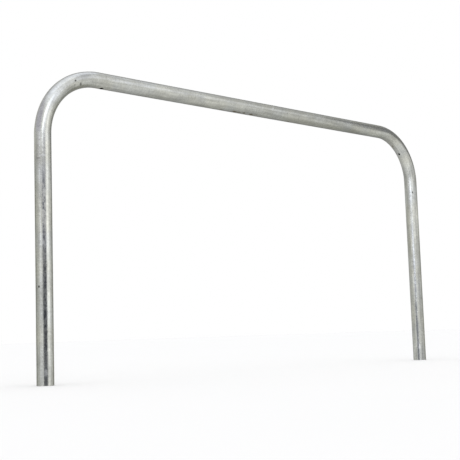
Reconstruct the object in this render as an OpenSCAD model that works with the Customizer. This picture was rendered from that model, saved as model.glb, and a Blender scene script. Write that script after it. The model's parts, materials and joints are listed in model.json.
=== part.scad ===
// Hoop barrier: one galvanised steel tube bent into an inverted U, with a push-in plug in each leg end.
// Millimetres. X runs across the hoop, Y is its thickness and Z is up.
// The origin is midway between the two cut leg ends, at their level.

/* [Hoop] */
// Width over the outsides of both legs
overall_w = 2130; // [1000:5:3000]
// Height from the cut leg ends to the top of the rail
overall_h = 1125; // [600:5:1500]
// Radius of both bends, at the centre line of the tube
bend_r = 228; // [120:1:300]

/* [Tube] */
// Outside diameter of the tube
tube_d = 60.3; // [48.3:0.1:76.1]
// Wall thickness of the tube
tube_wall = 3.2; // [2:0.1:5]
// Width of the bevel that breaks both edges of each cut end
edge_break = 0.8; // [0.2:0.1:0.9]

/* [Vent holes] */
// Diameter of the vent hole under the rail, one of two that the zinc bath needs
rail_vent_d = 12; // [6:0.5:14]
// Distance of the rail's vent hole from the end of the left bend
rail_vent_run = 18; // [8:1:200]
// Turn of the rail's vent hole round the tube, from straight down towards the front
rail_vent_turn = 8; // [-20:1:20]
// Diameter of the other vent hole, inside the right bend
bend_vent_d = 10; // [6:0.5:14]
// Angle of that hole round the bend, from the bend's rail end
bend_vent_angle = 48; // [5:1:85]
// Turn of that hole round the tube, from the middle of the bend's inner side towards the front
bend_vent_turn = 5; // [-20:1:20]

/* [End plugs] */
// Depth of the plug's outer face inside the cut end of the leg
plug_recess = 1.5; // [1:0.5:10]
// Thickness of the plug's closed head
plug_head_t = 4; // [2:0.5:8]
// Width of the bevel round the head's outer face
plug_bevel = 0.6; // [0.2:0.1:1.5]
// Length of the plug's hollow stem above its head
plug_stem_l = 24; // [16:1:50]
// Wall thickness of the stem
plug_stem_wall = 2.5; // [1.5:0.5:5]
// Number of gripping fins, evenly spaced along the stem
plug_fin_count = 4; // [1:1:6]
// Reach of each fin beyond the stem
plug_fin_reach = 4; // [2:0.5:7]
// Thickness of each fin at its root
plug_fin_t = 1.6; // [1:0.1:2.2]
// Thickness of each fin at its tip
plug_tip_t = 0.8; // [0.4:0.1:1]
// How far each fin's tip leans back towards the head
plug_fin_lean = 0.8; // [0:0.1:1]
// Gap between the plug and the bore all round
plug_gap = 0.15; // [0.05:0.05:0.3]

/* [Hidden] */

$fn = 96;
// How far a cutter runs past the face that it cuts
overrun = 1;

bore_d = tube_d - 2 * tube_wall;
// Centre line of each leg, of the rail, and of the bends
leg_x = (overall_w - tube_d) / 2;
rail_z = overall_h - tube_d / 2;
bend_x = leg_x - bend_r;
bend_z = rail_z - bend_r;

plug_r = bore_d / 2 - plug_gap;
plug_stem_r = plug_r - plug_fin_reach;
plug_fin_pitch = plug_stem_l / (plug_fin_count + 0.5);

steel = [0.71, 0.72, 0.70];
plastic = [0.20, 0.20, 0.21];

// The children on the right, and their mirror image on the left
module both_sides() {
  children();
  mirror([1, 0, 0])
    children();
}

// Solid rod of diameter d along the hoop's centre line. Its leg ends widen by 45 degrees times spread,
// over the height of the broken edge, and run on below the cut by extra.
module hoop_rod(d, spread, extra) {
  end_h = edge_break + extra;
  both_sides() {
    translate([leg_x, 0, -extra])
      cylinder(h = end_h, d1 = d + 2 * spread * end_h, d2 = d);
    translate([leg_x, 0, edge_break])
      cylinder(h = bend_z - edge_break, d = d);
    translate([bend_x, 0, bend_z])
      rotate([90, 0, 0])
        rotate_extrude(angle = 90)
          translate([bend_r, 0])
            circle(d = d);
  }
  translate([-bend_x, 0, rail_z])
    rotate([0, 90, 0])
      cylinder(h = 2 * bend_x, d = d);
}

// Cutter for one vent hole of diameter d, from the tube's centre line through the wall below it.
// It is turned towards the front, about a tube that runs along X.
module vent_cutter(d, turn) {
  rotate([-turn, 0, 0])
    translate([0, 0, -tube_d / 2 - overrun])
      cylinder(h = tube_d / 2 + overrun, d = d);
}

module hoop_tube() {
  color(steel)
    difference() {
      hoop_rod(tube_d, -1, 0);
      hoop_rod(bore_d, 1, overrun);
      translate([rail_vent_run - bend_x, 0, rail_z])
        vent_cutter(rail_vent_d, rail_vent_turn);
      translate([bend_x, 0, bend_z])
        rotate([0, bend_vent_angle, 0])
          translate([0, 0, bend_r])
            vent_cutter(bend_vent_d, bend_vent_turn);
    }
}

// Half section of a plug's closed head, with its outer face at y = 0
module plug_head_section() {
  polygon([[0, 0], [plug_r - plug_bevel, 0], [plug_r, plug_bevel], [plug_r, plug_head_t], [0, plug_head_t]]);
}

// Half section of one fin, rooted inside the stem's wall at y = 0
module plug_fin_section() {
  root_y = plug_fin_t / 2;
  tip_y = plug_tip_t / 2;
  polygon([[-plug_stem_wall / 2, -root_y], [0, -root_y], [plug_fin_reach, -tip_y - plug_fin_lean],
           [plug_fin_reach, tip_y - plug_fin_lean], [0, root_y], [-plug_stem_wall / 2, root_y]]);
}

// Half section of a whole plug: head, hollow stem and fins
module plug_section() {
  plug_head_section();
  translate([plug_stem_r - plug_stem_wall, 0])
    square([plug_stem_wall, plug_head_t + plug_stem_l]);
  for (i = [1 : plug_fin_count])
    translate([plug_stem_r, plug_head_t + i * plug_fin_pitch])
      plug_fin_section();
}

module end_plug(x) {
  color(plastic)
    translate([x, 0, plug_recess])
      rotate_extrude()
        plug_section();
}

module left_end_plug() {
  end_plug(-leg_x);
}

module right_end_plug() {
  end_plug(leg_x);
}

hoop_tube();
left_end_plug();
right_end_plug();
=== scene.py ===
import json
import math
import random
from collections import namedtuple

import bpy
import numpy as np
from mathutils import Matrix, Vector, noise


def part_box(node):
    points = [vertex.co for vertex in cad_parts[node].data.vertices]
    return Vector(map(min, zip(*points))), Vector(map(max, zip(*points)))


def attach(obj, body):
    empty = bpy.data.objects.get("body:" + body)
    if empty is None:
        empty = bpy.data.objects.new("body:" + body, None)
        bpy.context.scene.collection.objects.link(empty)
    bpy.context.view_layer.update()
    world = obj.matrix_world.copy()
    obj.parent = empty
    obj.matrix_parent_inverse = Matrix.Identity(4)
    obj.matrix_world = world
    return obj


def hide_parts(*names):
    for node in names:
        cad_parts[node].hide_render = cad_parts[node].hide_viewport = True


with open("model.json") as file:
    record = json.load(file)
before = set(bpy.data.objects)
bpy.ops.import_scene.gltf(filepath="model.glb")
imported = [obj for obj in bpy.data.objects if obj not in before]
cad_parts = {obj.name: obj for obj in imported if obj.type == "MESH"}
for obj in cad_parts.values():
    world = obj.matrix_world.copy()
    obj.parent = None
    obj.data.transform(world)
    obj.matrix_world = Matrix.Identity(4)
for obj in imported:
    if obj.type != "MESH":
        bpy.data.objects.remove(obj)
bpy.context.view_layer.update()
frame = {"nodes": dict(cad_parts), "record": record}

BODY = "root"
MM = 0.001

# Sizes of the hoop, in metres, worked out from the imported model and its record
HOOP_LOW, HOOP_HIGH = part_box("hoop_tube")
MOUNTS = {mount["name"]: mount for mount in frame["record"]["mounts"]}
TUBE_R = HOOP_HIGH.y
LEG_X = HOOP_HIGH.x - TUBE_R
RAIL_Z = HOOP_HIGH.z - TUBE_R
BEND_X = MOUNTS["top_rail"]["dims"]["length_mm"] * MM / 2
BEND_R = LEG_X - BEND_X
BEND_Z = RAIL_Z - BEND_R

# Sizes that the model's box doesn't give
WALL = 3.2 * MM
BORE_R = TUBE_R - WALL

# Distances along the tube's centre line, from the left leg's cut end
BEND_RUN = BEND_R * math.pi / 2
RAIL_START = BEND_Z + BEND_RUN
RAIL_END = RAIL_START + 2 * BEND_X
HOOP_RUN = RAIL_END + BEND_RUN + BEND_Z

# Direction through the hoop's thickness
THICKNESS_WAY = np.array([0.0, 1.0, 0.0])
# Angles round the tube: 0 faces out of the hoop, half a turn faces into it, and a quarter turn faces +Y
SEAM_ANGLE = math.radians(112)

# Vent holes: distance along the tube, angle round it and radius, then how much the bend squeezes the tube's
# inner side along its run, and how far past the hole's edge it is darkened: painted shade down its wall,
# and dark residue of the zinc bath on its rim
Vent = namedtuple("Vent", "run angle radius squeeze stain")
RAIL_VENT = Vent(
    run=RAIL_START + 18 * MM,
    angle=math.radians(188),
    radius=6 * MM,
    squeeze=1.0,
    stain=1.3 * MM,
)
BEND_VENT = Vent(
    run=RAIL_END + BEND_R * math.radians(48),
    angle=math.radians(185),
    radius=5 * MM,
    squeeze=1 - TUBE_R / BEND_R,
    stain=0.2 * MM,
)

# Fineness of the mesh: points round the skin and the bore, and steps between their rings
SKIN_COLUMNS = 72
BORE_COLUMNS = 36
STRAIGHT_STEP = 3.55 * MM
BEND_STEP = 2.9 * MM
BORE_STEP = 24 * MM
BORE_BEND_STEP = 9 * MM
# Distance of the first and last rings from the cut ends
RIM_RUN = 3 * MM
# Half length of the block round each vent hole, and its cells each way on the skin and on the bore
BLOCK_HALF = 14 * MM
BLOCK_CELLS = 12
BORE_BLOCK_CELLS = 6

# Flattening of the outer and inner side of both bends, and the length over which it sets in
OUTER_FLATTENING = 1.1 * MM
INNER_FLATTENING = 0.5 * MM
BEND_RAMP = 45 * MM

# Mean level of the zinc over the tube's nominal surface, low enough to keep its relief in the model's box
SKIN_LEVEL = -0.30 * MM
# Brings the plain noise, which stays within about 0.6 of 0, to a range of about -1 to 1
NOISE_GAIN = 1.6
# Waves of the zinc: height, waves per metre along the tube and in both directions across it, and offset
ZINC_WAVES = [
    (0.060 * MM, (14, 26, 26), 0.0),
    (0.034 * MM, (52, 46, 46), 7.3),
    (0.030 * MM, (105, 80, 80), 3.1),
    (0.024 * MM, (3, 88, 88), 11.9),
]
# Lumps of dross: seed and number, distance kept from the cut ends, ranges of half width and height in
# millimetres, and how far along the tube each is worked out, in half widths
SEED = 5
LUMP_COUNT = 90
LUMP_MARGIN = 20 * MM
LUMP_WIDTHS = (1.6, 3.4)
LUMP_HEIGHTS = (0.05, 0.16)
LUMP_REACH = 5
# Each lump is longer along the tube than across it, by the inverse of this
LUMP_STRETCH = 0.6
# Fine wrinkles that the bender's former leaves. RIPPLE_SIDE says where they set in and are full, from -1 on
# the outer side to 1 on the inner side. The rest are the waves of their phase along the tube, and their bow
# round it.
RIPPLE_PITCH = 6.4 * MM
RIPPLE_HEIGHT = 0.030 * MM
RIPPLE_SIDE = (-0.25, 0.6)
RIPPLE_DRIFTS = [(1.3, 31.0, 0.0), (0.7, 73.0, 1.0)]
RIPPLE_BOW = 1.2
# Rings that the bender's clamp leaves on both legs: distance from the cut end, half width, share of depth
CLAMP_RINGS = [
    (0.797, 1.9 * MM, 1.0),
    (0.811, 1.6 * MM, 0.8),
    (0.804, 3.0 * MM, -0.6),
]
CLAMP_DEPTH = 0.055 * MM
# Where the clamp's press sets in and is full, counted as for the wrinkles, and what shows of the rings
# elsewhere
CLAMP_SIDE = (-0.7, 0.3)
CLAMP_LEAST = 0.35
# Trace of the welded seam: depth and half width of its groove, then height, half width and place of the
# ridge beside it
GROOVE_DEPTH = 0.035 * MM
GROOVE_WIDTH = 2.6 * MM
RIDGE_HEIGHT = 0.02 * MM
RIDGE_WIDTH = 1.2 * MM
RIDGE_PLACE = 4.2 * MM


def smooth(value, low, high):
    """Smooth step from 0 at low to 1 at high."""
    t = np.clip((value - low) / (high - low), 0, 1)
    return t * t * (3 - 2 * t)


def hump(value, centre, width):
    """Bell curve: 1 at its centre, and 1/e at a distance of width from it."""
    return np.exp(-(((value - centre) / width) ** 2))


def inner_side(angle, side):
    """0 on the side of the tube that faces out of the hoop, and 1 on the side that faces into it."""
    return smooth(-np.cos(angle), *side)


def waves(value, rows, level=0.0):
    """Sine waves of value about that level, from the size, the rate and the start of each."""
    return sum((size * np.sin(rate * value + start) for size, rate, start in rows), level)


def wave_noise(points, scale, offset):
    """Smooth noise from about -1 to 1 at each point, with scale in waves per metre on each axis."""
    moved = points * np.array(scale) + offset
    return np.array([noise.noise(Vector(p)) for p in moved]) * NOISE_GAIN


def centre_line(run):
    """Points on the centre line, and the direction from each that faces out of the hoop."""
    side = np.where(run < HOOP_RUN / 2, -1.0, 1.0)
    near = np.minimum(run, HOOP_RUN - run)
    turn = np.clip((near - BEND_Z) / BEND_R, 0, math.pi / 2)
    along_rail = np.maximum(near - BEND_Z - BEND_RUN, 0)
    x = BEND_X + BEND_R * np.cos(turn) - along_rail
    z = np.minimum(near, BEND_Z) + BEND_R * np.sin(turn)
    flat = np.zeros_like(run)
    centre = np.stack([side * x, flat, z], -1)
    out = np.stack([side * np.cos(turn), flat, np.sin(turn)], -1)
    return centre, out


def straightened(run, angle, radius=TUBE_R):
    """The place that a point of the skin has on the tube before it is bent, used by every pattern."""
    run, angle = np.broadcast_arrays(run, angle)
    return np.stack([run, radius * np.cos(angle), radius * np.sin(angle)], -1)


def bend_share(run):
    """1 inside either bend, falling to 0 at the bend's ends."""
    near = np.minimum(run, HOOP_RUN - run)
    begun = smooth(near, BEND_Z, BEND_Z + BEND_RAMP)
    return begun * (1 - smooth(near, RAIL_START - BEND_RAMP, RAIL_START))


def placed(run, angle, lift):
    """Points of the skin, at a height of lift over the tube's nominal surface."""
    run, angle, lift = np.broadcast_arrays(run, angle, lift)
    centre, out = centre_line(run)
    flattened = bend_share(run) * np.where(np.cos(angle) > 0, OUTER_FLATTENING, INNER_FLATTENING)
    radius = (TUBE_R + lift)[..., None]
    in_plane = radius * np.cos(angle)[..., None] - (flattened * np.cos(angle))[..., None]
    return centre + in_plane * out + radius * np.sin(angle)[..., None] * THICKNESS_WAY


def bender_ripples(run, angle):
    """Fine wrinkles that the bender's former leaves across the inner half of both bends."""
    strength = RIPPLE_HEIGHT * inner_side(angle, RIPPLE_SIDE) * bend_share(run)
    shift = waves(run, RIPPLE_DRIFTS)
    return strength * np.sin(run * 2 * math.pi / RIPPLE_PITCH + shift + RIPPLE_BOW * np.sin(angle))


def clamp_marks(run, angle):
    """Shallow rings that the bender's clamp die leaves on both legs, below the bends."""
    near = np.minimum(run, HOOP_RUN - run)
    rings = sum(share * hump(near, place, half_width) for place, half_width, share in CLAMP_RINGS)
    return -CLAMP_DEPTH * rings * (CLAMP_LEAST + (1 - CLAMP_LEAST) * inner_side(angle, CLAMP_SIDE))


def seam_line(angle):
    """Trace of the tube's welded seam, scarfed nearly flush: a faint groove with a ridge beside it."""
    across = (angle - SEAM_ANGLE) * TUBE_R
    ridge = RIDGE_HEIGHT * hump(across, RIDGE_PLACE, RIDGE_WIDTH)
    return ridge - GROOVE_DEPTH * hump(across, 0, GROOVE_WIDTH)


def zinc_lumps(points):
    """Small dross lumps in the zinc, scattered over the whole tube."""
    draw = random.Random(SEED)
    total = np.zeros(len(points))
    for _ in range(LUMP_COUNT):
        run = draw.uniform(LUMP_MARGIN, HOOP_RUN - LUMP_MARGIN)
        angle = draw.uniform(0, 2 * math.pi)
        width = draw.uniform(*LUMP_WIDTHS) * MM
        height = draw.uniform(*LUMP_HEIGHTS) * MM
        close = np.abs(points[:, 0] - run) < LUMP_REACH * width
        offset = points[close] - straightened(run, angle)
        offset[:, 0] *= LUMP_STRETCH
        total[close] += height * np.exp(-(offset**2).sum(-1) / width**2)
    return total


# Runs of thicker zinc: distance along the tube, angle in degrees, half length, half width, height
ZINC_RUNS = [
    (BEND_VENT.run + 9.5 * MM, 176, 4.2 * MM, 1.9 * MM, 0.75 * MM),
    (BEND_VENT.run + 22 * MM, 172, 16 * MM, 2.4 * MM, 0.16 * MM),
    (RAIL_VENT.run - 12 * MM, 190, 5.0 * MM, 2.2 * MM, 0.30 * MM),
    (0.030, 150, 22 * MM, 3.2 * MM, 0.15 * MM),
    (0.020, 262, 14 * MM, 2.8 * MM, 0.13 * MM),
    (HOOP_RUN - 0.026, 200, 18 * MM, 3.0 * MM, 0.15 * MM),
    (HOOP_RUN - 0.018, 60, 12 * MM, 2.8 * MM, 0.13 * MM),
    (1.71, 196, 30 * MM, 3.4 * MM, 0.18 * MM),
    (2.06, 171, 26 * MM, 3.0 * MM, 0.20 * MM),
    (2.55, 188, 34 * MM, 3.2 * MM, 0.16 * MM),
]


def zinc_runs(run, angle):
    """Long soft ridges where the zinc ran and froze."""
    total = np.zeros(np.broadcast(run, angle).shape)
    for place, degrees, half_length, half_width, height in ZINC_RUNS:
        turn = np.angle(np.exp(1j * (angle - math.radians(degrees))))
        total += height * hump(run, place, half_length) * hump(turn * TUBE_R, 0, half_width)
    return total


def relief(run, angle):
    """Height of the zinc skin over the nominal surface at each point."""
    run, angle = np.broadcast_arrays(run, angle)
    flat_run, flat_angle = run.ravel(), angle.ravel()
    points = straightened(flat_run, flat_angle)
    height = np.full(len(points), SKIN_LEVEL)
    for wave_height, scale, offset in ZINC_WAVES:
        height += wave_height * wave_noise(points, scale, offset)
    height += bender_ripples(flat_run, flat_angle)
    height += clamp_marks(flat_run, flat_angle)
    height += seam_line(flat_angle)
    height += zinc_lumps(points)
    height += zinc_runs(flat_run, flat_angle)
    return height.reshape(run.shape)


def kept_in_box(points):
    """Points moved, where needed, onto the model's box."""
    return np.clip(points, np.array(HOOP_LOW), np.array(HOOP_HIGH))


def angles_round(columns):
    """Angles of that many points, evenly round the tube."""
    return np.arange(columns) * 2 * math.pi / columns


def evenly(start, end, step):
    """Places from start up to but not including end, at about that step."""
    count = max(1, round((end - start) / step))
    return list(np.linspace(start, end, count, endpoint=False))


def vent_edges(vent):
    """Where the block of skin round a vent hole starts and ends along the tube."""
    half = BLOCK_HALF / vent.squeeze
    return vent.run - half, vent.run + half


RAIL_BLOCK = vent_edges(RAIL_VENT)
BEND_BLOCK = vent_edges(BEND_VENT)


def ring_places(straight, bend, cells, start, end):
    """Distances along the tube of all rings of the skin or bore, with even rings at both vent holes."""
    stretches = [
        (start, BEND_Z, straight),
        (BEND_Z, RAIL_START, bend),
        (RAIL_START, RAIL_BLOCK[0], bend),
        (*RAIL_BLOCK, 2 * BLOCK_HALF / cells),
        (RAIL_BLOCK[1], RAIL_END, straight),
        (RAIL_END, BEND_BLOCK[0], bend),
        (*BEND_BLOCK, (BEND_BLOCK[1] - BEND_BLOCK[0]) / cells),
        (BEND_BLOCK[1], RAIL_END + BEND_RUN, bend),
        (RAIL_END + BEND_RUN, end, straight),
    ]
    places = [place for stretch in stretches for place in evenly(*stretch)]
    return np.array(places + [end])


class Shell:
    """Collects points and faces, loop by loop."""

    def __init__(self):
        self.points = []
        self.patterns = []
        self.faces = []
        self.count = 0

    def add(self, points, patterns):
        """Adds points, with their places on the straightened tube, and returns their numbers."""
        points = np.asarray(points).reshape(-1, 3)
        self.points.append(points)
        self.patterns.append(np.asarray(patterns).reshape(-1, 3))
        first = self.count
        self.count += len(points)
        return np.arange(first, self.count)

    @staticmethod
    def quads(near, far):
        """Corners of the quads between two closed loops of as many points."""
        return np.stack([near, far, np.roll(far, -1), np.roll(near, -1)], -1)

    def band(self, near, far):
        """Adds all quads between two closed loops."""
        self.faces += self.quads(near, far).tolist()

    def lattice(self, grid, blocks, inward=False):
        """Adds the quads between all rings of a grid, except those in the blocks of rows and columns."""
        for row in range(len(grid) - 1):
            quads = self.quads(grid[row], grid[row + 1])
            kept = np.ones(len(quads), bool)
            for rows, columns in blocks:
                if rows[0] <= row < rows[1]:
                    kept[columns[0]:columns[1]] = False
            quads = quads[kept]
            self.faces += (quads[:, ::-1] if inward else quads).tolist()

    def stitch(self, fine, coarse, outward=True):
        """Triangles between a closed loop and one with half as many points."""
        ahead = np.roll(coarse, -1)
        for i in range(len(coarse)):
            a, b, c = fine[2 * i], fine[2 * i + 1], fine[(2 * i + 2) % len(fine)]
            fan = [(a, b, coarse[i]), (b, ahead[i], coarse[i]), (b, c, ahead[i])]
            self.faces += [tri if outward else tri[::-1] for tri in fan]

    def mesh(self, name):
        """The mesh, without the points that no face uses."""
        points = np.concatenate(self.points)
        patterns = np.concatenate(self.patterns)
        used = np.zeros(len(points), bool)
        used[np.concatenate([np.array(face) for face in self.faces])] = True
        renumbered = np.cumsum(used) - 1
        faces = [[int(renumbered[corner]) for corner in face] for face in self.faces]
        mesh = bpy.data.meshes.new(name)
        mesh.from_pydata(points[used].tolist(), [], faces)
        attribute = mesh.attributes.new("straight_place", "FLOAT_VECTOR", "POINT")
        attribute.data.foreach_set("vector", patterns[used].astype(np.float32).ravel())
        mesh.shade_smooth()
        mesh.update()
        return mesh


def block_loop(grid, rows, columns):
    """Numbers of the points round a block of the grid, anticlockwise seen from outside the tube."""
    (row0, row1), (col0, col1) = rows, columns
    loop = list(grid[row0:row1, col0])
    loop += list(grid[row1, col0:col1])
    loop += list(grid[row1:row0:-1, col1])
    loop += list(grid[row0, col1:col0:-1])
    return np.array(loop)


def vent_place(vent, along, across, radius):
    """Distance along the tube and angle of a point beside a vent hole's axis."""
    angle = vent.angle + np.arcsin(across / radius)
    if vent is BEND_VENT:
        run = vent.run + BEND_R * np.arcsin(along / (BEND_R + radius * np.cos(angle)))
    else:
        run = vent.run + along
    return run, angle


# Radius of the outermost round loop of skin at a vent hole
VENT_REACH = 13 * MM
# Loops of skin round a vent hole, outermost first: share of the way from the hole's edge to that loop
VENT_SKIN_SHARES = [1.0, 0.825, 0.66, 0.525, 0.41, 0.31, 0.24, 0.175, 0.125, 0.075]
# Loops down a vent hole: distance outside its nominal radius, and depth below the skin, in millimetres
VENT_WALL = [(0.28, 0.10), (0.02, 0.34), (-0.12, 0.75), (-0.15, 1.5), (-0.10, 2.2)]
# Loops on the bore round a vent hole: distance outside its nominal radius, in millimetres
VENT_BORE_EDGES = [0.0, 0.7, 2.0]
# Zinc bead on the skin round a vent hole: height, distance outside the hole's edge, half width, and the
# waves of its height round the hole
BEAD_HEIGHT = 0.26 * MM
BEAD_PLACE = 1.3 * MM
BEAD_WIDTH = 1.1 * MM
BEAD_WAVES = [(0.35, 1, 0.6), (0.2, 3, 0.0)]


def vent_bead(vent, reach, turn):
    """Height of the zinc bead, uneven round the hole, at a distance of reach from the hole's axis."""
    uneven = waves(turn, BEAD_WAVES, 1.0)
    return BEAD_HEIGHT * uneven * hump(reach, vent.radius + BEAD_PLACE, BEAD_WIDTH)


def add_vent(shell, vent, outer_loop, inner_loop):
    """Closes the block round a vent hole: skin, rolled rim, wall and the bore's edge."""
    count = len(outer_loop)
    # The block's loop starts at its corner of least run and angle, so the round loops start on that side
    turn = np.linspace(0, 2 * math.pi, count, endpoint=False) - 3 * math.pi / 4
    _, out = centre_line(np.array([vent.run]))
    inward = -math.cos(vent.angle) * out - math.sin(vent.angle) * THICKNESS_WAY

    def loop_at(reach, depth=0.0, tube=TUBE_R):
        run, angle = vent_place(vent, reach * np.cos(turn), reach * np.sin(turn), tube)
        if tube == TUBE_R:
            lift = relief(run, angle) + vent_bead(vent, reach, turn)
        else:
            lift = np.full(count, tube - TUBE_R)
        points = placed(run, angle, lift) + inward * depth
        return shell.add(points, straightened(run, angle, tube))

    skin_reaches = [vent.radius + share * (VENT_REACH - vent.radius) for share in VENT_SKIN_SHARES]
    first = loop_at(skin_reaches[0])
    # One more loop half way from the square block to the first round loop
    points = np.concatenate(shell.points)
    patterns = np.concatenate(shell.patterns)
    halfway = (points[first] + points[outer_loop]) / 2
    halfway_pattern = (patterns[first] + patterns[outer_loop]) / 2
    loops = [outer_loop, shell.add(halfway, halfway_pattern), first]
    loops += [loop_at(reach) for reach in skin_reaches[1:]]
    loops += [loop_at(vent.radius + edge * MM, depth * MM) for edge, depth in VENT_WALL]
    loops += [loop_at(vent.radius + edge * MM, tube=BORE_R) for edge in VENT_BORE_EDGES]
    for far, near in zip(loops, loops[1:]):
        shell.band(near, far)
    shell.stitch(loops[-1], inner_loop)


# Loops round a cut end: distance from the cut and depth below the nominal surface, in millimetres
CUT_PROFILE = [
    (1.9, 0.24),
    (1.1, 0.30),
    (0.55, 0.48),
    (0.22, 0.80),
    (0.06, 1.25),
    (0.02, 1.9),
    (0.10, 2.5),
    (0.35, 2.95),
    (0.8, 3.15),
]


def add_cut_end(shell, skin_ring, bore_ring, at_left):
    """Closes the tube's wall at a cut leg end, with its edges rounded by the zinc."""
    angle = angles_round(SKIN_COLUMNS)
    sign = 1 if at_left else -1
    start = 0 if at_left else HOOP_RUN
    # Unevenness of the cut round the tube, in millimetres, which fades towards the very end
    uneven = 0.8 * np.abs(waves(angle, [(0.10, 3, 1.0), (0.07, 7, sign), (0.05, 11, 0.0)]))
    loops = [skin_ring]
    for rise, depth in CUT_PROFILE:
        height = rise + uneven * min(1, rise + 0.4)
        run = start + sign * height * MM
        points = placed(run, angle, -depth * MM)
        loops.append(shell.add(points, straightened(run, angle, TUBE_R - depth * MM)))
    for far, near in zip(loops, loops[1:]):
        if at_left:
            shell.band(near, far)
        else:
            shell.band(far, near)
    shell.stitch(loops[-1], bore_ring, outward=at_left)


def make_skin():
    """The galvanised tube: outer skin, bore, vent holes and cut ends in one closed mesh."""
    shell = Shell()
    skin_runs = ring_places(STRAIGHT_STEP, BEND_STEP, BLOCK_CELLS, RIM_RUN, HOOP_RUN - RIM_RUN)
    bore_runs = ring_places(BORE_STEP, BORE_BEND_STEP, BORE_BLOCK_CELLS, RIM_RUN, HOOP_RUN - RIM_RUN)

    run, angle = skin_runs[:, None], angles_round(SKIN_COLUMNS)[None, :]
    skin = shell.add(placed(run, angle, relief(run, angle)), straightened(run, angle))
    skin = skin.reshape(len(skin_runs), SKIN_COLUMNS)
    run, angle = bore_runs[:, None], angles_round(BORE_COLUMNS)[None, :]
    bore = shell.add(placed(run, angle, BORE_R - TUBE_R), straightened(run, angle, BORE_R))
    bore = bore.reshape(len(bore_runs), BORE_COLUMNS)

    holes = []
    for vent, block in ((RAIL_VENT, RAIL_BLOCK), (BEND_VENT, BEND_BLOCK)):
        found = []
        for grid, runs, cells in ((skin, skin_runs, BLOCK_CELLS), (bore, bore_runs, BORE_BLOCK_CELLS)):
            row = int(np.abs(runs - block[0]).argmin())
            column = round(grid.shape[1] * vent.angle / (2 * math.pi)) - cells // 2
            found.append(((row, row + cells), (column, column + cells)))
        holes.append((vent, found))

    shell.lattice(skin, [found[0] for _, found in holes])
    shell.lattice(bore, [found[1] for _, found in holes], inward=True)
    for vent, (skin_block, bore_block) in holes:
        add_vent(shell, vent, block_loop(skin, *skin_block), block_loop(bore, *bore_block))
    add_cut_end(shell, skin[0], bore[0], True)
    add_cut_end(shell, skin[-1], bore[-1], False)
    shell.points = [kept_in_box(np.concatenate(shell.points))]

    skin_object = bpy.data.objects.new("hoop_skin", shell.mesh("hoop_skin"))
    bpy.context.scene.collection.objects.link(skin_object)
    return skin_object


class Nodes:
    """Short calls for building a node tree."""

    def __init__(self, tree):
        self.tree = tree
        tree.nodes.clear()

    def add(self, kind, **settings):
        node = self.tree.nodes.new(kind)
        for key, value in settings.items():
            setattr(node, key, value)
        return node

    def link(self, source, target):
        self.tree.links.new(source, target)

    def set(self, socket, value):
        """Links a socket to another, or sets its own value."""
        if isinstance(value, bpy.types.NodeSocket):
            self.link(value, socket)
        else:
            socket.default_value = value

    def math(self, operation, first, second=0.0, third=0.0):
        node = self.add("ShaderNodeMath", operation=operation)
        for socket, value in zip(node.inputs, (first, second, third)):
            self.set(socket, value)
        return node.outputs[0]

    def vector(self, operation, first, second=(0, 0, 0), scale=1.0):
        node = self.add("ShaderNodeVectorMath", operation=operation)
        self.set(node.inputs[0], first)
        self.set(node.inputs[1], second)
        if operation == "SCALE":
            self.set(node.inputs["Scale"], scale)
        gives_number = operation in ("LENGTH", "DOT_PRODUCT")
        return node.outputs["Value" if gives_number else "Vector"]

    def split(self, vector):
        """The outputs X, Y and Z that a vector is split into."""
        node = self.add("ShaderNodeSeparateXYZ")
        self.link(vector, node.inputs[0])
        return node.outputs

    def step(self, value, low, high, to_low=0.0, to_high=1.0):
        """Smooth step from the value to_low at low to the value to_high at high."""
        node = self.add("ShaderNodeMapRange", interpolation_type="SMOOTHSTEP")
        for socket, item in zip(node.inputs, (value, low, high, to_low, to_high)):
            self.set(socket, item)
        return node.outputs["Result"]

    def mix(self, factor, first, second):
        """Mix of two colours, at the numbers that the node's colour sockets have."""
        node = self.add("ShaderNodeMix", data_type="RGBA")
        self.set(node.inputs[0], factor)
        self.set(node.inputs[6], first)
        self.set(node.inputs[7], second)
        return node.outputs[2]

    def noise(self, place, scale, detail=2.0, roughness=0.5):
        node = self.add("ShaderNodeTexNoise")
        self.set(node.inputs["Vector"], place)
        self.set(node.inputs["Scale"], scale)
        self.set(node.inputs["Detail"], detail)
        self.set(node.inputs["Roughness"], roughness)
        return node.outputs["Fac"]

    def cells(self, place, scale):
        """A random colour for each of many small cells."""
        node = self.add("ShaderNodeTexVoronoi")
        self.set(node.inputs["Vector"], place)
        self.set(node.inputs["Scale"], scale)
        return node.outputs["Color"]

    def bump(self, height, strength, distance):
        """Normal of a surface with that fine relief."""
        node = self.add("ShaderNodeBump")
        self.set(node.inputs["Strength"], strength)
        self.set(node.inputs["Distance"], distance)
        self.link(height, node.inputs["Height"])
        return node.outputs["Normal"]

    def principled(self, values):
        """Standard surface shader, with the inputs named in values linked or set."""
        shader = self.add("ShaderNodeBsdfPrincipled")
        for name, value in values.items():
            self.set(shader.inputs[name], value)
        return shader

    def finish(self, shader, kind="ShaderNodeOutputMaterial"):
        """Links a shader to the tree's output."""
        output = self.add(kind)
        self.link(shader.outputs[0], output.inputs["Surface"])


def new_material(name):
    """A material with an empty node tree, and the short calls that build it."""
    material = bpy.data.materials.new(name)
    material.use_nodes = True
    return material, Nodes(material.node_tree)


def grey(level, tint=(1.0, 1.0, 1.0)):
    """Opaque grey of that level, tinted."""
    return (level * tint[0], level * tint[1], level * tint[2], 1.0)
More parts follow.
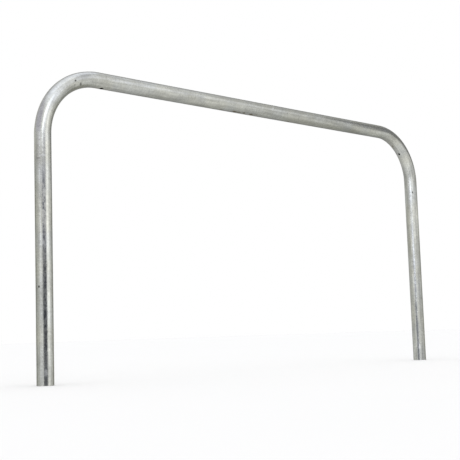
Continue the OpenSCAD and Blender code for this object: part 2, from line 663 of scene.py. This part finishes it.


# Colours of the zinc, of what marks it, and of painted highlight, reflection and shade
COOL_ZINC = grey(0.625, (0.975, 1.0, 0.985))
WARM_ZINC = grey(0.625, (0.992, 1.0, 0.935))
# Pale bluish zinc of the painted highlight
PAINTED_HIGHLIGHT_ZINC = grey(0.74, (0.97, 1.0, 1.05))
PALE_ZINC = grey(0.80, (0.99, 1.0, 1.01))
RUST = grey(0.16, (1.22, 1.0, 0.62))
STAIN_AND_PAINTED_REFLECTION = grey(0.20, (0.95, 1.0, 1.08))
# Near black, for dark spots and for the painted shade and residue in the vent holes
RESIDUE_AND_PAINTED_SHADE = grey(0.03, (1.0, 1.0, 0.95))

# Marks on the zinc: distance along the tube, angle in degrees, half width along, half width across, depth
DARK_SPOTS = [
    (0.3350, 338, 5.2 * MM, 3.6 * MM, 1.0),
    (0.7780, 333, 4.0 * MM, 11 * MM, 0.32),
    (1.1131, 275, 5.5 * MM, 4.0 * MM, 0.85),
    (1.1035, 250, 3.5 * MM, 3.0 * MM, 0.40),
    (1.1318, 238, 6.0 * MM, 8.0 * MM, 0.66),
    (2.1889, 266, 4.0 * MM, 5.0 * MM, 0.25),
    (2.9306, 216, 4.5 * MM, 3.4 * MM, 0.50),
    (3.2502, 233, 7.0 * MM, 3.4 * MM, 0.90),
    (2.7500, 80, 4.5 * MM, 3.0 * MM, 0.70),
    (1.6200, 130, 5.0 * MM, 3.2 * MM, 0.60),
    (0.5600, 110, 4.0 * MM, 2.8 * MM, 0.75),
]
RUST_SPOTS = [
    (1.8990, 197, 15 * MM, 6.0 * MM, 0.95),
    (1.9240, 197, 16 * MM, 5.0 * MM, 0.70),
    (1.9510, 199, 9.0 * MM, 5.5 * MM, 0.90),
    (1.9930, 196, 13 * MM, 6.0 * MM, 0.95),
    (2.0210, 204, 7.0 * MM, 4.5 * MM, 0.35),
    (1.8270, 194, 16 * MM, 4.5 * MM, 0.45),
    (2.2190, 186, 9.0 * MM, 4.5 * MM, 0.60),
    (2.9656, 178, 9.0 * MM, 4.5 * MM, 0.80),
    (2.9800, 173, 8.0 * MM, 5.5 * MM, 0.35),
    (2.3500, 168, 20 * MM, 4.0 * MM, 0.40),
]
PALE_SPOTS = [
    (2.1000, 276, 6.5 * MM, 6.0 * MM, 0.60),
    (2.1060, 290, 6.0 * MM, 6.0 * MM, 0.60),
    (BEND_VENT.run + 9.0 * MM, 171, 4.5 * MM, 2.4 * MM, 0.90),
    (0.0440, 297, 15 * MM, 6.0 * MM, 0.75),
    (0.7880, 300, 3.6 * MM, 14 * MM, 0.45),
    (3.9979, 220, 14 * MM, 5.5 * MM, 0.85),
    (1.3800, 60, 9.0 * MM, 8.0 * MM, 0.45),
]

# Painted light and shade: broad soft patches where the zinc is painted brighter, as highlight, and darker,
# as shade, where the mirrored studio falls short, as the marks above, with the change in brightness last
PAINTED_LIGHT_PATCHES = [
    (2.7600, 230, 120 * MM, 17 * MM, 0.34),
    (0.9230, 258, 45 * MM, 9.0 * MM, 0.22),
    (0.9950, 318, 55 * MM, 11 * MM, 0.18),
    (1.1450, 256, 45 * MM, 12 * MM, 0.16),
    (1.2180, 265, 26 * MM, 7.0 * MM, 0.18),
    (1.3450, 256, 120 * MM, 12 * MM, 0.16),
    (1.3700, 272, 130 * MM, 8.0 * MM, -0.10),
    (1.5900, 275, 90 * MM, 8.0 * MM, -0.10),
    (1.5700, 261, 110 * MM, 8.0 * MM, 0.09),
    (1.6000, 295, 300 * MM, 8.0 * MM, 0.16),
    (1.8100, 243, 110 * MM, 19 * MM, 0.14),
    (1.5500, 264, 330 * MM, 5.0 * MM, 0.12),
    (0.6200, 320, 75 * MM, 6.0 * MM, -0.24),
    (0.7900, 327, 80 * MM, 9.0 * MM, -0.15),
    (2.6200, 205, 150 * MM, 10 * MM, -0.20),
    (2.7000, 257, 50 * MM, 10 * MM, -0.18),
    (3.0100, 262, 40 * MM, 9.0 * MM, 0.24),
    (3.0900, 250, 45 * MM, 13 * MM, 0.20),
    (3.1960, 210, 36 * MM, 22 * MM, 0.24),
    (3.1960, 268, 30 * MM, 8.0 * MM, -0.22),
    (3.4300, 212, 150 * MM, 22 * MM, 0.08),
    (3.6800, 184, 100 * MM, 12 * MM, 0.15),
    (3.6800, 219, 60 * MM, 7.0 * MM, -0.13),
    (4.0300, 250, 40 * MM, 11 * MM, -0.18),
    (4.0350, 196, 34 * MM, 8.0 * MM, -0.22),
    (3.3160, 196, 60 * MM, 9.0 * MM, -0.12),
    (2.5330, 271, 110 * MM, 12 * MM, -0.12),
    (1.1460, 281, 36 * MM, 13 * MM, -0.18),
    (2.9250, 252, 26 * MM, 8.0 * MM, -0.22),
    (1.0850, 237, 30 * MM, 9.0 * MM, -0.26),
    (1.0250, 264, 34 * MM, 10 * MM, 0.22),
    (3.3900, 277, 80 * MM, 10 * MM, 0.25),
    (3.9500, 168, 190 * MM, 13 * MM, 0.20),
    (0.0240, 276, 34 * MM, 13 * MM, -0.20),
]

# Dull lines where the zinc drained along the tube, and one of painted reflection: start, end, angle in
# degrees, half width, depth. The first stains the left leg's cut end. The second, at the right leg's foot,
# is painted reflection: a dark line that stands in for the mirror image of a dark gap in the studio.
DRAIN_STAINS_AND_PAINTED_REFLECTION = [
    (-0.2000, -0.0080, 298, 9.0 * MM, 0.85),
    (HOOP_RUN - 0.290, HOOP_RUN + 0.100, 209, 5.8 * MM, 0.95),
    (0.7300, 0.9100, 292, 2.6 * MM, 0.40),
    (0.1200, 0.8300, 62, 3.0 * MM, 0.35),
    (2.3000, 2.9000, 186, 3.0 * MM, 0.30),
]

# Painted highlight: a pale bluish line down the right leg, where its highlight runs on, as the lines above
PAINTED_HIGHLIGHT_LINES = [
    (HOOP_RUN - 0.640, HOOP_RUN - 0.340, 214, 5.5 * MM, 0.55),
]

# Painted reflection: bands of dark flecks down the dark stripe that the left leg mirrors, and where the
# right leg's painted dark line begins, as the lines above
PAINTED_REFLECTION_FLECKS = [
    (0.1000, 0.7200, 298, 8.5 * MM, 1.0),
    (HOOP_RUN - 0.470, HOOP_RUN - 0.270, 211, 4.5 * MM, 0.75),
]


# Where a mark and a patch of painted light have faded out and where they are full, in half widths from
# the middle
MARK_FADE = (1.15, 0.45)
PAINTED_LIGHT_FADE = (1.5, 0.3)
# A line fades over this length either way from its ends, and is full over this share of its width
LINE_FADE = 50 * MM
LINE_CORE = 0.25
# Softness of the edge of the dark in a vent hole, painted shade on its wall and residue on its rim, and
# how much it covers
HOLE_DARK_EDGE = 0.4 * MM
HOLE_DARK_COVER = 0.92
# Patterns that make the edges of all marks ragged: cells per metre, and how far they move an edge
RAGGED_PATTERNS = [(900.0, 1.2 * MM), (380.0, 2.0 * MM)]
# Slant of the crosswise streaks, in radians
STREAK_SLANT = 0.32
# Where on the right bend the zinc's lengthwise combing sets in, and from where it is full up to the cut end
COMBED_START = RAIL_END + 0.60 * BEND_RUN
COMBED_FULL = RAIL_END + BEND_RUN
# Added roughness of pale, rusty and dark places
WORN_ROUGHNESS = 0.3
# Fine relief of the zinc: the unit of its height, the weight of each pattern in it, and the share of the
# first three that the combing takes away
BUMP_HEIGHT = 0.07 * MM
FINE_WEIGHT = 0.4
DIMPLE_WEIGHT = 2.2
FLECK_WEIGHT = 0.8
COMB_WEIGHT = 2.6
GRAIN_WEIGHT = 0.16
COMBED_AWAY = 0.7


def spread(n, place, spot):
    """Distance of each point from a spot's middle, in half widths of the spot."""
    run, degrees, along, across, _ = spot
    offset = n.vector("SUBTRACT", place, tuple(straightened(run, math.radians(degrees))))
    return n.vector("LENGTH", n.vector("DIVIDE", offset, (along, across, across)))


def marks(n, place, spots):
    """How strongly any of these spots covers each point."""
    cover = 0.0
    for spot in spots:
        cover = n.math("MAXIMUM", cover, n.step(spread(n, place, spot), *MARK_FADE, 0.0, spot[-1]))
    return cover


def with_painted_light(n, place, bright):
    """The brightness, raised by painted highlight and lowered by painted shade in each patch."""
    for tone in PAINTED_LIGHT_PATCHES:
        bright = n.math("MULTIPLY", bright, n.step(spread(n, place, tone), *PAINTED_LIGHT_FADE, 1.0, 1.0 + tone[-1]))
    return bright


def vent_residue_and_painted_shade(n, place):
    """How strongly each point is darkened at the vent holes: painted shade on walls, residue on rims."""
    cover = 0.0
    for vent in (RAIL_VENT, BEND_VENT):
        axis = (0.0, math.cos(vent.angle), math.sin(vent.angle))
        offset = n.vector("SUBTRACT", place, (vent.run, 0.0, 0.0))
        offset = n.vector("MULTIPLY", offset, (vent.squeeze, 1.0, 1.0))
        away = n.vector("LENGTH", n.vector("CROSS_PRODUCT", offset, axis))
        # Keeps the painted shade and residue off the opposite side of the tube
        near_side = n.step(n.vector("DOT_PRODUCT", offset, axis), 0.0, TUBE_R / 2)
        reach = vent.radius + vent.stain
        stain = n.step(away, reach + HOLE_DARK_EDGE, reach - HOLE_DARK_EDGE, 0.0, HOLE_DARK_COVER)
        cover = n.math("MAXIMUM", cover, n.math("MULTIPLY", stain, near_side))
    return cover


def drains(n, place, run, broken, lines):
    """How strongly any of these lines covers each point, broken up by a pattern."""
    cover = 0.0
    for start, end, degrees, across, depth in lines:
        centre = straightened(0.0, math.radians(degrees))
        offset = n.vector("SUBTRACT", place, tuple(centre))
        away = n.vector("LENGTH", n.vector("MULTIPLY", offset, (0, 1, 1)))
        line = n.step(away, across, across * LINE_CORE, 0.0, depth)
        begun = n.step(run, start - LINE_FADE, start + LINE_FADE)
        ended = n.step(run, end + LINE_FADE, end - LINE_FADE)
        line = n.math("MULTIPLY", line, n.math("MULTIPLY", begun, ended))
        cover = n.math("MAXIMUM", cover, n.math("MULTIPLY", line, broken))
    return cover


def zinc_material():
    """Hot-dip galvanised steel: satin zinc with faint spangle, streaks, stains and fine unevenness, and
    painted highlight, reflection and shade.
    """
    material, n = new_material("galvanised_zinc")
    place = n.add("ShaderNodeAttribute", attribute_name="straight_place").outputs["Vector"]
    run = n.split(place)["X"]

    def along(share):
        """Places for a pattern that is stretched along the tube, or squeezed where share is over 1."""
        return n.vector("MULTIPLY", place, (share, 1.0, 1.0))

    slanted = n.add("ShaderNodeVectorRotate", rotation_type="Z_AXIS")
    n.link(place, slanted.inputs["Vector"])
    n.set(slanted.inputs["Angle"], STREAK_SLANT)
    crosswise = n.vector("MULTIPLY", slanted.outputs[0], (3.0, 1.0, 1.0))

    # Patterns of the zinc, from broad to fine
    broad = n.noise(place, 9.0, 2.0)
    cloud = n.noise(along(0.35), 42.0, 4.0, 0.6)
    streak = n.noise(crosswise, 52.0, 3.0, 0.6)
    line = n.noise(along(0.07), 105.0, 3.0, 0.6)
    fleck = n.noise(place, 135.0, 2.0, 0.6)
    combing = n.noise(along(0.05), 190.0, 2.0, 0.6)
    spangle = n.vector("DOT_PRODUCT", n.cells(place, 230.0), (0.33, 0.33, 0.33))
    grain = n.noise(place, 420.0, 3.0, 0.6)

    # Each pattern's range, and the brightness at its low and high end
    bright = 1.0
    for pattern, *levels in (
        (cloud, 0.30, 0.72, 0.89, 1.07),
        (streak, 0.30, 0.72, 0.91, 1.06),
        (line, 0.30, 0.70, 0.88, 1.08),
        (fleck, 0.56, 0.74, 1.01, 0.85),
        (spangle, 0.2, 0.8, 0.95, 1.04),
    ):
        bright = n.math("MULTIPLY", bright, n.step(pattern, *levels))
    combed = n.step(run, COMBED_START, COMBED_FULL)
    combing = n.math("MULTIPLY", n.step(combing, 0.34, 0.66, -0.13, 0.10), combed)
    bright = n.math("MULTIPLY_ADD", bright, combing, bright)
    tint = n.mix(n.step(broad, 0.35, 0.65), COOL_ZINC, WARM_ZINC)
    # The zinc's colour, brightened and darkened by the patches of painted light and shade
    colour = n.vector("SCALE", tint, scale=with_painted_light(n, place, bright))

    ragged = place
    for cells, reach in RAGGED_PATTERNS:
        moved = n.vector("SUBTRACT", n.cells(place, cells), (0.5, 0.5, 0.5))
        ragged = n.vector("ADD", ragged, n.vector("SCALE", moved, scale=reach))
    broken = n.step(n.noise(place, 38.0, 3.0), 0.34, 0.52, 0.55, 1.0)
    # Breaks up the flecks of painted reflection
    reflection_fleck_pattern = n.step(n.noise(along(0.62), 84.0, 4.0, 0.72), 0.44, 0.59)
    # Painted highlight down the right leg
    painted_highlight_cover = drains(n, ragged, run, broken, PAINTED_HIGHLIGHT_LINES)
    pale = marks(n, ragged, PALE_SPOTS)
    rust = marks(n, ragged, RUST_SPOTS)
    # Of these lines, the right leg's dark one is painted reflection; the rest are drain stains
    drain_and_reflection_cover = drains(n, ragged, run, broken, DRAIN_STAINS_AND_PAINTED_REFLECTION)
    drain_and_reflection_cover = n.math("MAXIMUM", drain_and_reflection_cover, drains(n, ragged, run, reflection_fleck_pattern, PAINTED_REFLECTION_FLECKS))
    # Dark spots, and the vent holes darkened by painted shade on their walls and residue on their rims
    dark = n.math("MAXIMUM", marks(n, ragged, DARK_SPOTS), vent_residue_and_painted_shade(n, ragged))
    # Marks over the zinc; the highlight line, the flecks and the right leg's dark line are painted light,
    # and the vent holes' walls hold painted shade
    for cover, mark_colour in (
        (painted_highlight_cover, PAINTED_HIGHLIGHT_ZINC),
        (pale, PALE_ZINC),
        (rust, RUST),
        (drain_and_reflection_cover, STAIN_AND_PAINTED_REFLECTION),
        (dark, RESIDUE_AND_PAINTED_SHADE),
    ):
        colour = n.mix(cover, colour, mark_colour)

    # As for the brightness, but these add up
    rough = 0.0
    for pattern, *levels in (
        (cloud, 0.28, 0.74, 0.29, 0.20),
        (line, 0.3, 0.7, 0.03, -0.03),
        (grain, 0.3, 0.7, -0.03, 0.04),
    ):
        rough = n.math("ADD", rough, n.step(pattern, *levels))
    worn = n.math("MAXIMUM", n.math("MAXIMUM", dark, rust), pale)
    rough = n.math("ADD", rough, n.math("MULTIPLY", worn, WORN_ROUGHNESS))

    # Fine relief: dimpled for the most part, and combed lengthwise on the right leg
    fine = n.noise(place, 260.0, 3.0, 0.55)
    dimples = n.noise(along(1.5), 80.0, 2.0, 0.5)
    dimples = n.math("MULTIPLY", dimples, DIMPLE_WEIGHT)
    height = n.math("ADD", n.math("MULTIPLY", fine, FINE_WEIGHT), dimples)
    height = n.math("ADD", height, n.step(fleck, 0.50, 0.70, 0.0, FLECK_WEIGHT))
    height = n.math("MULTIPLY", height, n.math("MULTIPLY_ADD", combed, -COMBED_AWAY, 1.0))
    height = n.math("ADD", height, n.math("MULTIPLY", n.math("MULTIPLY", line, combed), COMB_WEIGHT))
    height = n.math("ADD", height, n.math("MULTIPLY", grain, GRAIN_WEIGHT))

    n.finish(n.principled({
        "Base Color": colour,
        "Roughness": rough,
        "Normal": n.bump(height, 1.0, BUMP_HEIGHT),
        "Metallic": 1.0,
    }))
    return material


def plug_material():
    """Matt black moulded polyethylene, with a fine grain and faint flow marks."""
    material, n = new_material("plug_plastic")
    place = n.add("ShaderNodeTexCoord").outputs["Object"]
    flow = n.noise(n.vector("MULTIPLY", place, (1.0, 1.0, 4.0)), 90.0, 3.0)
    grain = n.noise(place, 1500.0, 3.0, 0.6)
    n.finish(n.principled({
        "Base Color": n.mix(n.step(flow, 0.35, 0.7), grey(0.028), grey(0.045, (1.0, 1.0, 1.03))),
        "Roughness": n.step(grain, 0.3, 0.7, 0.46, 0.62),
        "Normal": n.bump(grain, 0.6, 0.05 * MM),
    }))
    return material


def floor_material():
    """Plain pale floor with a barely visible unevenness."""
    material, n = new_material("pale_floor")
    cloud = n.noise(n.add("ShaderNodeTexCoord").outputs["Object"], 1.5, 3.0)
    n.finish(n.principled({
        "Base Color": n.mix(cloud, grey(0.875), grey(0.885)),
        "Roughness": 0.9,
        "Specular IOR Level": 0.0,
    }))
    return material


def add_plane(name, corners, material):
    """A flat piece of the studio, with four corners."""
    mesh = bpy.data.meshes.new(name)
    mesh.from_pydata(corners, [], [(0, 1, 2, 3)])
    plane = bpy.data.objects.new(name, mesh)
    plane.data.materials.append(material)
    bpy.context.scene.collection.objects.link(plane)
    return plane


# Half width of the floor, in metres
FLOOR_HALF = 60


def make_floor():
    """Pale floor at the level of the cut ends, which the metal doesn't mirror."""
    corners = [(x * FLOOR_HALF, y * FLOOR_HALF, 0) for x, y in ((-1, -1), (1, -1), (1, 1), (-1, 1))]
    floor = add_plane("floor", corners, floor_material())
    floor.visible_glossy = False


# Radiance of the studio as the camera sees it, and as it lights all that isn't metal
SHOWN_LEVEL = 1.0
LIGHT_LEVEL = 1.13

# Light and dark zones of the studio, as the metal mirrors them. Each has its middle azimuth, from +Y
# towards +X, its half width, its lowest and highest elevation, and its softness across and up, all in
# degrees, and then its radiance. A later zone lies over the earlier ones. Where none lies, radiance swings
# by BASE_SWING about BASE_LEVEL, and is highest at BASE_AZIMUTH.
Zone = namedtuple("Zone", "azimuth half_width low high soft soft_up radiance")
BASE_LEVEL = 0.74
BASE_SWING = 0.25
BASE_AZIMUTH = 220
BASE_TINT = (1.0, 1.0, 0.965)
WORLD_ZONES = [
    # Softbox overhead, with its brighter front part
    (190, 180, 56, 95, 1, 20, (1.08, 1.10, 1.17)),
    (205, 60, 60, 95, 50, 16, (1.42, 1.45, 1.55)),
    # Dimmer walls to the left of the camera, with a violet patch
    (288, 52, 14, 50, 34, 14, (0.62, 0.615, 0.70)),
    (254, 14, 15, 30, 12, 8, (0.66, 0.65, 0.76)),
    (338, 22, 5, 22, 16, 8, (0.58, 0.58, 0.55)),
    (316, 30, -12, 14, 30, 10, (0.60, 0.60, 0.555)),
    # Main softbox behind the camera, and its core
    (178, 42, 14, 46, 24, 14, (1.15, 1.16, 1.21)),
    (200, 15, 17, 42, 16, 12, (1.94, 2.00, 2.20)),
    # Dark wall behind the hoop, which its silhouette mirrors
    (62, 30, -30, 42, 20, 12, (0.30, 0.30, 0.29)),
    # Dark wall beyond the hoop's right end, above and below
    (92, 20, 14, 42, 34, 14, (0.36, 0.36, 0.33)),
    (90, 27, -44, 6, 40, 14, (0.38, 0.38, 0.335)),
    # Duller walls low down, in front of the hoop and behind the camera
    (166, 14, -6, 9, 12, 6, (0.72, 0.72, 0.71)),
    (168, 24, -9, 3, 16, 4, (0.56, 0.56, 0.55)),
    (238, 24, -9, 4, 20, 4, (0.62, 0.62, 0.63)),
    # Strip light low down behind the camera, and a dull patch to the camera's right
    (239, 19, 5.2, 11, 17, 3, (2.28, 2.36, 2.54)),
    (146, 8, 6.5, 12, 12, 2, (0.74, 0.74, 0.73)),
]


def angle_away(n, level, azimuth):
    """Angle between a level direction and an azimuth given in degrees."""
    middle = (math.sin(math.radians(azimuth)), math.cos(math.radians(azimuth)), 0)
    return n.math("ARCCOSINE", n.vector("DOT_PRODUCT", level, middle))


def inside_zone(n, level, up, zone, unit_up):
    """Share of a zone in each level direction and at each height. The zone's heights count in unit_up."""
    half_width, half_soft = math.radians(zone.half_width), math.radians(zone.soft) / 2
    across = n.step(angle_away(n, level, zone.azimuth), half_width + half_soft, half_width - half_soft)
    half_soft_up = zone.soft_up / 2
    above = n.step(up, (zone.low - half_soft_up) * unit_up, (zone.low + half_soft_up) * unit_up)
    below = n.step(up, (zone.high + half_soft_up) * unit_up, (zone.high - half_soft_up) * unit_up)
    return n.math("MULTIPLY", across, n.math("MULTIPLY", above, below))


def studio_world():
    """Soft studio: pale to the camera and the floor, with light and dark zones that the metal mirrors."""
    world = bpy.data.worlds.new("studio")
    bpy.context.scene.world = world
    world.use_nodes = True
    n = Nodes(world.node_tree)
    direction = n.vector("NORMALIZE", n.add("ShaderNodeTexCoord").outputs["Generated"])
    elevation = n.math("ARCSINE", n.split(direction)["Z"])
    level = n.vector("NORMALIZE", n.vector("MULTIPLY", direction, (1, 1, 0)))
    swing = n.math("COSINE", angle_away(n, level, BASE_AZIMUTH))
    base = n.math("MULTIPLY_ADD", swing, BASE_SWING, BASE_LEVEL)
    colour = n.vector("SCALE", BASE_TINT, scale=base)
    for zone in map(Zone._make, WORLD_ZONES):
        share = inside_zone(n, level, elevation, zone, math.radians(1))
        colour = n.mix(share, colour, (*zone.radiance, 1.0))
    rays = n.add("ShaderNodeLightPath").outputs
    pale = n.mix(rays["Is Diffuse Ray"], grey(SHOWN_LEVEL), grey(LIGHT_LEVEL))
    shown = n.math("MAXIMUM", rays["Is Camera Ray"], rays["Is Diffuse Ray"])
    background = n.add("ShaderNodeBackground")
    n.link(n.mix(shown, colour, pale), background.inputs["Color"])
    n.finish(background, "ShaderNodeOutputWorld")


# Reflection cards: their two upright edges, their lowest and highest point, the place that their zones are
# seen from, and the zones, as the world's but with heights in metres. The left leg's two cards are edge on
# to the right leg, so it doesn't mirror them.
CARDS = {
    "left_leg_card": ((0.06, -0.1664), (-3.00, -0.6888), -0.3, 1.2, (-LEG_X, 0), [
        (110, 20, -1, 0.95, 16, 0.12, (0.74, 0.74, 0.715)),
        (180, 48, -1, 0.95, 24, 0.12, (1.00, 1.00, 0.99)),
        (243, 14, -1, 1.08, 24, 0.08, (0.91, 0.91, 0.89)),
        (158, 12, -1, 1.00, 20, 0.12, (1.50, 1.50, 1.47)),
        (204, 25.5, -1, 0.93, 3, 0.10, (0.66, 0.66, 0.70)),
        (204, 25.5, -1, 0.50, 3, 0.20, (0.150, 0.155, 0.170)),
        (214, 4, 0.93, 1.3, 4, 0.12, (2.05, 2.12, 2.22)),
    ]),
    "left_edge_card": ((-1.14, 1.01), (-2.05, 1.44), -0.3, 1.06, (-LEG_X, 0), [
        (344, 20, -1, 0.98, 12, 0.08, (0.33, 0.335, 0.29)),
    ]),
    "right_end_card": ((1.10, -0.62), (1.70, -0.10), 0.9, 2.3, (0.80, 0), [
        (109, 29, 1.09, 1.95, 8, 0.08, (0.24, 0.24, 0.24)),
        (98, 18, 1.03, 1.10, 10, 0.05, (0.28, 0.28, 0.28)),
    ]),
}


def card_material(name, seen_from, zones):
    """A card shines only in its zones, and is clear elsewhere."""
    material, n = new_material(name)
    place = n.add("ShaderNodeTexCoord").outputs["Object"]
    height = n.split(place)["Z"]
    offset = n.vector("SUBTRACT", place, (*seen_from, 0))
    level = n.vector("NORMALIZE", n.vector("MULTIPLY", offset, (1, 1, 0)))
    black, white = grey(0.0), grey(1.0)
    colour, clear = black, white
    for zone in map(Zone._make, zones):
        share = inside_zone(n, level, height, zone, 1.0)
        colour = n.mix(share, colour, (*zone.radiance, 1.0))
        clear = n.mix(share, clear, black)
    light = n.add("ShaderNodeEmission")
    n.link(colour, light.inputs["Color"])
    through = n.add("ShaderNodeBsdfTransparent")
    n.link(clear, through.inputs["Color"])
    both = n.add("ShaderNodeAddShader")
    n.link(light.outputs[0], both.inputs[0])
    n.link(through.outputs[0], both.inputs[1])
    n.finish(both)
    return material


def make_cards():
    """The cards are seen only in reflections."""
    for name, (near, far, low, high, seen_from, zones) in CARDS.items():
        corners = [(*near, low), (*far, low), (*far, high), (*near, high)]
        card = add_plane(name, corners, card_material(name, seen_from, zones))
        card.visible_camera = False
        card.visible_diffuse = False
        card.visible_shadow = False


# Camera at the photograph's viewing angle: its place, direction and roll, its lens and sensor in
# millimetres, and the nearest and farthest distance that it shows
CAMERA_AT = Vector((-2.7420, -2.8541, 0.1527))
CAMERA_LOOKS = Vector((0.66530, 0.73861, 0.10875))
CAMERA_ROLL = math.radians(-1.873)
CAMERA_LENS = 74.58
CAMERA_SENSOR = 36
CAMERA_CLIP = (0.05, 300)


def make_camera():
    """The camera, with its view through the middle of the frame."""
    data = bpy.data.cameras.new("camera")
    data.lens = CAMERA_LENS
    data.sensor_width = CAMERA_SENSOR
    data.clip_start, data.clip_end = CAMERA_CLIP
    camera = bpy.data.objects.new("camera", data)
    bpy.context.scene.collection.objects.link(camera)
    level = CAMERA_LOOKS.normalized().to_track_quat("-Z", "Y").to_matrix().to_4x4()
    camera.matrix_world = Matrix.Translation(CAMERA_AT) @ level @ Matrix.Rotation(CAMERA_ROLL, 4, "Z")
    bpy.context.scene.camera = camera


def dress_plugs():
    """Gives the plugs' own nodes their plastic."""
    plastic = plug_material()
    for name in ("left_end_plug", "right_end_plug"):
        plug = frame["nodes"][name]
        plug.data.materials.clear()
        plug.data.materials.append(plastic)


skin = make_skin()
skin.data.materials.append(zinc_material())
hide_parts("hoop_tube")
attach(skin, BODY)
dress_plugs()
make_floor()
make_cards()
studio_world()
make_camera()
bpy.context.scene.view_settings.view_transform = "Standard"
bpy.context.scene.view_settings.look = "None"
